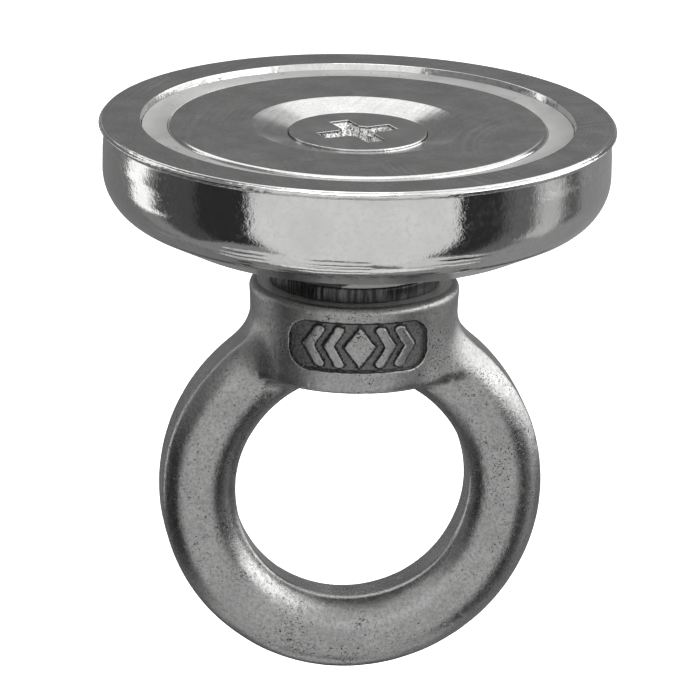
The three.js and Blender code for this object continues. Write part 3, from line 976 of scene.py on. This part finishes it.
def mouth_relief(at, radius, height):
    """A slightly rough mouth, scored where it was trimmed."""
    mouth = band(radius, POT_MOUTH_RADIUS, MOUTH_FADE) * ramp(height, -MOUTH_DEPTH, MOUTH_FADE)
    radius = radius + mouth * uneven(at, MOUTH_UNEVEN)
    score = mouth * band(height, -MOUTH_GROOVE - uneven(at, MOUTH_GROOVE_WAVER), MOUTH_GROOVE_WIDTH)
    return radius + score * MOUTH_GROOVE_DEPTH * patchy(at, *MOUTH_GROOVE_PATCHES)


def wall_relief(at, radius, height):
    """A slightly uneven wall, with fine draw lines near its lower corner."""
    wall = ramp(radius, WALL_INSIDE, WALL_INSIDE_FADE) * ramp(-height, WALL_TOP, WALL_TOP_FADE)
    radius = radius + wall * (uneven(at, WALL_UNEVEN) - WALL_SINK)
    drawn = wall * DRAW_LINE_DEPTH * patchy(at, *DRAW_LINE_PATCHES)
    waver = uneven(at, DRAW_LINE_WAVER)
    for line, width in DRAW_LINES:
        radius = radius - drawn * band(height, line + waver, width)
    return radius


def pot_relief(radius, height, turn):
    at = cylinder_points(radius, height, turn)
    radius, height = lip_relief(at, radius, height)
    radius = mouth_relief(at, radius, height)
    return wall_relief(at, radius, height), height


def make_pot():
    points, faces = turned(pot_profile(), POT_SIDES, pot_relief)
    pot = make_piece("pot_shell", points, faces, "magnet_head", "steel_pot",
                     [bright_nickel(), ground_nickel("ground_rim", RIM_GREY)])
    _, _, height, radius = face_middles(points, faces)
    paint(pot, (height > -RIM_FLATNESS) & (radius < RIM_RADIUS - RIM_EDGE_WIDTH))


def make_magnet():
    seat = HEAD_RADIUS + CONE_GAP
    cone_top = HEAD_FACE - HEAD_EDGE
    corners = [
        (SHANK_HOLE_RADIUS, MAGNET_LOW.z, SOFT),
        (MAGNET_RADIUS, MAGNET_LOW.z, MAGNET_FOOT_ROUND),
        (MAGNET_RADIUS, MAGNET_FACE, MAGNET_EDGE_ROUND),
        (DISH_RADIUS, MAGNET_FACE, DISH_SHOULDER),
        (seat, MAGNET_FACE - DISH_FALL, DISH_FOOT_ROUND),
        (seat, cone_top, SEAT_ROUND),
        (SHANK_HOLE_RADIUS, cone_top - (seat - SHANK_HOLE_RADIUS), SOFT),
    ]
    points, faces = turned(spaced(rounded(corners, ARC_STEPS), PROFILE_STEP), MAGNET_SIDES)
    make_piece("disc_magnet", points, faces, "magnet_head", "ring_magnet",
               [ground_nickel("satin_nickel", MAGNET_GREY)])


def make_resin():
    inner, outer = MAGNET_RADIUS + RESIN_GAP, RESIN_HIGH.x
    top = RESIN_HIGH.z
    profile = [(inner, RESIN_LOW.z), (outer, RESIN_LOW.z)]
    for share in np.linspace(1, 0, RESIN_TOP_STEPS):
        climb = RESIN_CLIMB_POT * share**RESIN_CLIMB_POWER
        climb += RESIN_CLIMB_MAGNET * (1 - share) ** RESIN_CLIMB_POWER
        profile.append((inner + (outer - inner) * share, top + RESIN_RISE + climb))

    def swell(radius, height, turn):
        at = cylinder_points(radius, height, turn)
        upper = ramp(height, top - RESIN_SKIN, RESIN_SKIN)
        return radius, height + upper * (uneven(at, RESIN_UNEVEN) - RESIN_SINK)

    points, faces = turned(spaced(np.array(profile), RESIN_STEP), RESIN_SIDES, swell)
    make_piece("resin_ring", points, faces, "magnet_head", "potting_ring", [cast_resin()])


def make_bond():
    rim = BOND_HIGH.x - BOND_INSET
    corners = [
        (SHANK_HOLE_RADIUS, BOND_LOW.z, 0),
        (rim, BOND_LOW.z, CRISP),
        (rim, BOND_HIGH.z, CRISP),
        (SHANK_HOLE_RADIUS, BOND_HIGH.z, 0),
    ]
    points, faces = turned(spaced(rounded(corners, BOND_ARC_STEPS), BOND_STEP), BOND_SIDES)
    make_piece("bond_layer", points, faces, "magnet_head", "magnet_bond", [cast_resin()])


def make_washer():
    outer = WASHER_HIGH.x
    corners = [
        (WASHER_HOLE_RADIUS, WASHER_LOW.z, CRISP),
        (outer - WASHER_DRAFT, WASHER_LOW.z, WASHER_FOOT_ROUND),
        (outer, WASHER_HIGH.z, WORN),
        (WASHER_HOLE_RADIUS, WASHER_HIGH.z, WASHER_HOLE_ROUND),
    ]

    def sheared(radius, height, turn):
        depth = SHEAR_SINK
        for around, upward, seed, size in SHEAR_STREAKS:
            depth = depth + size * noise(np.stack([turn * around, turn * 0, height * upward], -1), 1.0, seed)
        return radius - ramp(radius, outer - SHEARED_REACH, SHEARED_REACH) * depth, height

    profile = spaced(rounded(corners, WASHER_ARC_STEPS), WASHER_STEP)
    points, faces = turned(profile, WASHER_SIDES, sheared)
    washer = make_piece("flat_washer", points, faces, "washer", "eye_washer",
                        [screw_steel(), shaded_sheared_steel()])
    _, _, _, radius = face_middles(points, faces)
    paint(washer, radius > outer - SHEARED_FACE)


def screw_shank(x, y, z, radius):
    """The threaded shank, with a chamfered tip."""
    thread = (radius - thread_radius(x, y, z, -THREAD_PLAY, SCREW_ROOT, SCREW_CREST)) * CONE_DISTANCE
    tip = (radius - (SCREW_CREST - SCREW_TIP_CHAMFER + z - SCREW_LOW.z)) * CONE_DISTANCE
    return np.maximum(np.maximum(thread, tip), SCREW_LOW.z - z)


def driver_recess(x, y, z, radius):
    """The cross recess: two crossed wings and a round core, all narrower further down."""
    across, along = spun(x, y, RECESS_TURN)
    depth = (HEAD_FACE - z) / RECESS_DEPTH
    reach = RECESS_SPAN / 2 + (RECESS_BOTTOM_SPAN - RECESS_SPAN) / 2 * depth
    wing = RECESS_WING / 2 - RECESS_WING_DRAFT * depth * RECESS_DEPTH / 2
    first = np.maximum(np.abs(across) - reach, np.abs(along) - wing)
    second = np.maximum(np.abs(along) - reach, np.abs(across) - wing)
    core = (radius - RECESS_CORE * (1 - RECESS_CORE_TAPER * depth)) * RECESS_CORE_DISTANCE
    recess = smooth_min(smooth_min(first, second, RECESS_WING_BLEND), core, RECESS_CORE_BLEND)
    return np.maximum(recess, (depth - 1) * RECESS_DEPTH)


def screw_field(x, y, z):
    """Below 0 inside the screw."""
    radius = np.hypot(x, y)
    shank = screw_shank(x, y, z, radius)
    cone_foot = HEAD_FACE - HEAD_EDGE - (HEAD_RADIUS - SCREW_CREST)
    cone = (radius - (SCREW_CREST + z - cone_foot)) * CONE_DISTANCE
    head = np.maximum(smooth_max(cone, radius - HEAD_RADIUS, HEAD_EDGE_BLEND), cone_foot - z)
    body = smooth_min(np.maximum(shank, z - HEAD_FACE), head, HEAD_NECK_BLEND)
    body = smooth_max(body, z - HEAD_FACE, HEAD_FACE_BLEND)
    return smooth_max(body, -driver_recess(x, y, z, radius), RECESS_EDGE_BLEND)


def recess_relief(points):
    """Burrs and driver marks on the recess's walls."""
    x, y, z = points.T
    near = np.exp(-((np.hypot(x, y) / RECESS_BURR_REACH) ** RECESS_BURR_POWER))
    near = near * ramp(z, RECESS_BURR_BOTTOM, RECESS_BURR_BOTTOM_FADE)
    below = ramp(-z, RECESS_BURR_TOP - HEAD_FACE, RECESS_BURR_TOP_FADE)
    return near * below * uneven(points, RECESS_BURRS)


def make_screw():
    points, faces = netted(screw_field, SCREW_LOW, SCREW_HIGH, NET_MARGIN, SCREW_CELL)
    points = with_relief(screw_field, points, recess_relief)
    screw = make_piece("cross_recess_screw", points, faces, "magnet_head", "countersunk_screw",
                       [screw_steel(), pressed_steel()])
    _, _, height, radius = face_middles(points, faces)
    sunk = (height < HEAD_FACE - RECESS_WALL_TOP) & (height > SCREW_LOW.z / 2)
    paint(screw, sunk & (radius < RECESS_SPAN / 2 + RECESS_WALL_MARGIN))


def nut_field(x, y, z):
    """Below 0 inside the thin nut."""
    radius = np.hypot(x, y)
    turn = np.arctan2(y, x) - NUT_TURN
    side = math.tau / NUT_SIDES
    face = NUT_FLATS / 2
    hexagon = radius * np.cos(turn % side - side / 2) - face
    beyond = np.maximum(z - NUT_HIGH.z, NUT_LOW.z - z)
    chamfers = (beyond + (radius - face) * math.tan(NUT_CHAMFER)) * NUT_CHAMFER_DISTANCE
    body = smooth_max(hexagon, np.maximum(chamfers, beyond), NUT_EDGE_BLEND)
    return smooth_max(body, tapped_hole(x, y, z, radius, NUT_HIGH.z, NUT_LOW.z), HOLE_EDGE_BLEND)


def make_nut():
    points, faces = netted(nut_field, NUT_LOW, NUT_HIGH, NET_MARGIN, NUT_CELL)
    make_piece("thin_nut", points, faces, "magnet_head", "clamp_nut", [screw_steel()])


def rounded_corner(across, along, size):
    """Distance from a rounded corner, below 0 inside, from the distances past its two straight sides."""
    across, along = across + size, along + size
    outside = np.hypot(np.maximum(across, 0), np.maximum(along, 0))
    return outside + np.minimum(np.maximum(across, along), 0) - size


def badge_outline(across, up):
    """Distance from the badge's edge, below 0 inside it."""
    return rounded_corner(np.abs(across) - BADGE_WIDTH / 2, np.abs(up) - BADGE_HEIGHT / 2, BADGE_CORNER)


def motif_outline(across, up):
    """Distance from the motif's edge, below 0 inside it: a lozenge between pairs of chevrons."""
    across, up = np.abs(across), np.abs(up)
    shape = (across / LOZENGE_HALF_WIDTH + up / MOTIF_HALF_HEIGHT - 1) * LOZENGE_DISTANCE
    run = np.minimum(up, MOTIF_HALF_HEIGHT - MOTIF_STROKE / 2)
    for k in range(CHEVRONS):
        tip = MOTIF_FIRST + MOTIF_LEAN + k * MOTIF_SPACING
        arm = np.abs(across - (tip - MOTIF_LEAN * run / MOTIF_HALF_HEIGHT)) * CHEVRON_DISTANCE
        shape = np.minimum(shape, np.hypot(arm, up - run) - MOTIF_STROKE / 2)
    return shape


def wave(first, second, rates):
    """A wave from -1 to 1 over two values, with a (rate, start) for each."""
    (first_rate, first_start), (second_rate, second_start) = rates
    return np.sin(first * first_rate + first_start) * np.cos(second * second_rate + second_start)


def badge_plane(x, y, z):
    """Points in the badge's own frame, across, out and up, with its outline's slight wobble."""
    across, out = spun(x, y, BADGE_TURN)
    up = z - BADGE_HEIGHT_CENTRE
    across = across + BADGE_WOBBLE * wave(up, across, BADGE_WAVE_ACROSS)
    up = up + BADGE_WOBBLE * wave(across, across, BADGE_WAVE_UP)
    return across, out, up


def collar_skin(z):
    """The waisted collar's radius at a height."""
    return COLLAR_RADIUS - COLLAR_WAIST * (1 - ((z - COLLAR_MIDDLE) / (COLLAR_HEIGHT / 2)) ** 2)


def with_badge(body, x, y, z, radius):
    """The body with the badge sunk into the collar, and the motif standing on the badge's floor."""
    across, out, up = badge_plane(x, y, z)
    skin = collar_skin(z)
    front = out + COLLAR_RADIUS / 2
    pocket = np.maximum(badge_outline(across, up), front)
    pocket = np.maximum(pocket, skin - BADGE_DEPTH - radius)
    body = smooth_max(body, -pocket, BADGE_EDGE_BLEND)
    motif = np.maximum(np.maximum(motif_outline(across, up), front), skin - MOTIF_ROOT - radius)
    motif = smooth_max(motif, radius - skin + MOTIF_INSET, MOTIF_TOP_BLEND)
    return smooth_min(body, motif, MOTIF_FOOT_BLEND)


def eye_field(x, y, z):
    """Below 0 inside the eye nut."""
    radius = np.hypot(x, y)
    corner = np.where(z > COLLAR_MIDDLE, COLLAR_TOP_ROUND, COLLAR_BOTTOM_ROUND)
    collar = rounded_corner(radius - collar_skin(z), np.abs(z - COLLAR_MIDDLE) - COLLAR_HEIGHT / 2, corner)
    out = np.hypot(x, z - RING_CENTRE) - RING_MEAN_RADIUS
    ring = smooth_max(np.hypot(out, y) - RING_SECTION_RADIUS, np.abs(out) - RING_TRIM, RING_CORNER)
    body = np.maximum(smooth_min(collar, ring, NECK_BLEND), z - COLLAR_TOP)
    body = with_badge(body, x, y, z, radius)
    hole = tapped_hole(x, y, z, radius, COLLAR_TOP, HOLE_BOTTOM)
    return smooth_max(body, np.where(z > RING_CENTRE, hole, -1.0), HOLE_EDGE_BLEND)


def eye_relief(points):
    """Forging waviness and shallow dents, but not in the tapped hole."""
    x, y, z = points.T
    dents = np.maximum(noise(points, *DENTS) - DENT_THRESHOLD, 0) * DENT_DEPTH
    tapped = (np.hypot(x, y) < TAPPED_ROOT + HOLE_MARGIN) & (z >= HOLE_RELIEF_END)
    return np.where(tapped, 0, uneven(points, FORGING_WAVES) - dents - FORGING_SINK)


def make_eye():
    points, faces = netted(eye_field, EYE_LOW, EYE_HIGH, EYE_MARGIN, EYE_CELL)
    points = with_relief(eye_field, points, eye_relief)
    materials = [
        cast_stainless(),
        badge_floor("badge_floor", darkest=0.08, lightest=0.26),
        machined_face(),
        # Painted shade: a darker copy of the badge's floor.
        badge_floor("badge_painted_shade", darkest=0.02, lightest=0.10),
    ]
    eye = make_piece("forged_eye", points, faces, "eye", "eye_nut", materials, sharp=0)
    x, y, z, radius = face_middles(points, faces)
    across, out, up = badge_plane(x, y, z)
    badge, motif = badge_outline(across, up), motif_outline(across, up)
    sunk = (badge < BADGE_FLOOR_MARGIN) & (out < 0)
    sunk &= radius < collar_skin(z) - BADGE_DEPTH * BADGE_FLOOR_SHARE
    # Painted shade: floor faces along the badge's edge and round the motif get the darker copy.
    border = np.minimum(np.abs(motif - MOTIF_SHADE_OUTSIDE), np.abs(badge + BADGE_SHADE_INSIDE))
    shaded_border = sunk & (border < BADGE_SHADE_WIDTH)
    faced = (z > COLLAR_TOP - FACED_TOP_DEPTH) & (radius < COLLAR_RADIUS - COLLAR_TOP_ROUND)
    paint(eye, sunk * 1 + faced * 2 + shaded_border * 2)


make_camera()
make_studio()
make_floor()
make_pot()
make_magnet()
make_resin()
make_bond()
make_screw()
make_nut()
make_washer()
make_eye()
